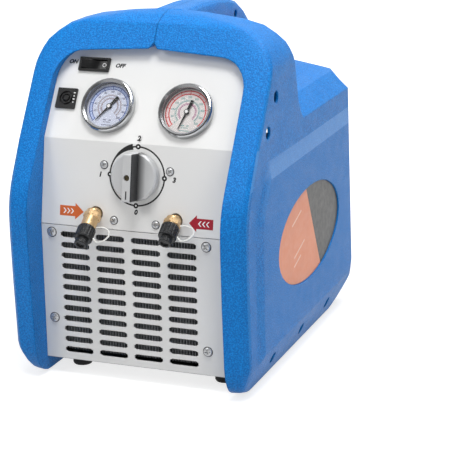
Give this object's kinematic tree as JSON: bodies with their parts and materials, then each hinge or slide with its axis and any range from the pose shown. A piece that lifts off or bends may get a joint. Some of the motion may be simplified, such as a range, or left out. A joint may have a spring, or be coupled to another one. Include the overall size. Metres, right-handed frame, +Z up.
{
  "type": "refrigerant recovery machine",
  "caption": "Portable refrigerant recovery machine: blue clam-shell housing with a carry handle, sheet front with gauges, selector knob, capped hose ports and a slotted grille.",
  "frame": {"origin": "middle of the footprint box, on the floor under the rubber feet", "axes": "+Z up, +Y to the back, +X to the right of someone facing the gauges"},
  "size_m": [0.25, 0.3693, 0.3528],
  "materials": {
    "shell_plastic": "fine moulded grain",
    "inlay": "satin film",
    "front_sheet": "satin",
    "plain_steel": "plain",
    "foot_rubber": "matte",
    "black_plastic": "semi gloss",
    "dial": "matte",
    "needle": "satin",
    "lens": "clear",
    "gauge_ring": "polished",
    "knob_plastic": "satin",
    "fitting_brass": "turned",
    "cap_plastic": "ribbed",
    "tether": "thin cord",
    "fins": "folded sheet",
    "copper_tube": "drawn copper",
    "cast_metal": "as cast"
  },
  "bodies": {
    "machine": {"left_shell": "shell_plastic", "right_shell": "shell_plastic", "left_side_inlay": "inlay", "right_side_inlay": "inlay", "control_panel": "front_sheet", "grille_panel": "front_sheet", "rear_panel": "front_sheet", "base_plate": "plain_steel", "foot_front_left": "foot_rubber", "foot_front_right": "foot_rubber", "foot_rear_left": "foot_rubber", "foot_rear_right": "foot_rubber", "left_gauge_case": "black_plastic", "left_gauge_dial": "dial", "left_gauge_glass": "lens", "left_gauge_ring": "gauge_ring", "right_gauge_case": "black_plastic", "right_gauge_dial": "dial", "right_gauge_glass": "lens", "right_gauge_ring": "gauge_ring", "switch_frame": "black_plastic", "breaker_body": "black_plastic", "in_port_elbow": "fitting_brass", "out_port_elbow": "fitting_brass", "in_cap_tether": "tether", "out_cap_tether": "tether", "condenser_fins": "fins", "condenser_left_plate": "plain_steel", "condenser_right_plate": "plain_steel", "condenser_tube": "copper_tube", "fan_shroud": "plain_steel", "motor": "cast_metal", "crankcase": "cast_metal", "mount_front": "foot_rubber", "mount_rear": "foot_rubber", "cylinder": "cast_metal", "cylinder_head": "cast_metal", "valve_block": "cast_metal", "suction_pipe": "copper_tube", "discharge_pipe": "copper_tube", "liquid_pipe": "copper_tube", "left_gauge_line": "copper_tube", "right_gauge_line": "copper_tube", "power_inlet": "black_plastic", "inlet_pin_left": "plain_steel", "inlet_pin_right": "plain_steel", "inlet_pin_earth": "plain_steel", "capacitor": "black_plastic", "capacitor_clip": "plain_steel", "pressure_cutout": "black_plastic"},
    "rocker": {"power_rocker": "black_plastic"},
    "reset_button": {"breaker_button": "black_plastic"},
    "selector": {"selector_knob": "knob_plastic"},
    "left_needle": {"left_gauge_needle": "needle"},
    "right_needle": {"right_gauge_needle": "needle"},
    "in_cap": {"in_port_cap": "cap_plastic"},
    "out_cap": {"out_port_cap": "cap_plastic"},
    "rotor": {"fan": "black_plastic", "motor_shaft": "plain_steel"}
  },
  "joints": [
    {"name": "power_switch", "type": "hinge", "parent": "machine", "child": "rocker", "pos_m": [-0.0615, -0.08964, 0.30142], "axis": [0, -0.5373, -0.8434], "range_deg": [0, 20]},
    {"name": "breaker_reset", "type": "slide", "parent": "machine", "child": "reset_button", "axis": [0, -0.8434, 0.5373], "range_m": [0, 0.0035]},
    {"name": "selector_turn", "type": "hinge", "parent": "machine", "child": "selector", "pos_m": [0, -0.13716, 0.2067], "axis": [0, 0.9848, -0.1736], "range_deg": [0, 270]},
    {"name": "left_gauge", "type": "hinge", "parent": "machine", "child": "left_needle", "pos_m": [-0.0377, -0.11278, 0.26696], "axis": [0, 0.8434, -0.5373], "range_deg": [0, 270], "stiffness_Nm_per_rad": 0.0005},
    {"name": "right_gauge", "type": "hinge", "parent": "machine", "child": "right_needle", "pos_m": [0.0428, -0.11299, 0.26662], "axis": [0, 0.8434, -0.5373], "range_deg": [0, 270], "stiffness_Nm_per_rad": 0.0005},
    {"name": "in_cap_off", "type": "slide", "parent": "machine", "child": "in_cap", "axis": [0, -0.8192, -0.5736], "range_m": [0, 0.03]},
    {"name": "out_cap_off", "type": "slide", "parent": "machine", "child": "out_cap", "axis": [0, -0.8192, -0.5736], "range_m": [0, 0.03]},
    {"name": "motor_turn", "type": "hinge", "parent": "machine", "child": "rotor", "pos_m": [-0.0081, 0, 0.088], "axis": [0, 1, 0], "continuous": true}
  ]
}
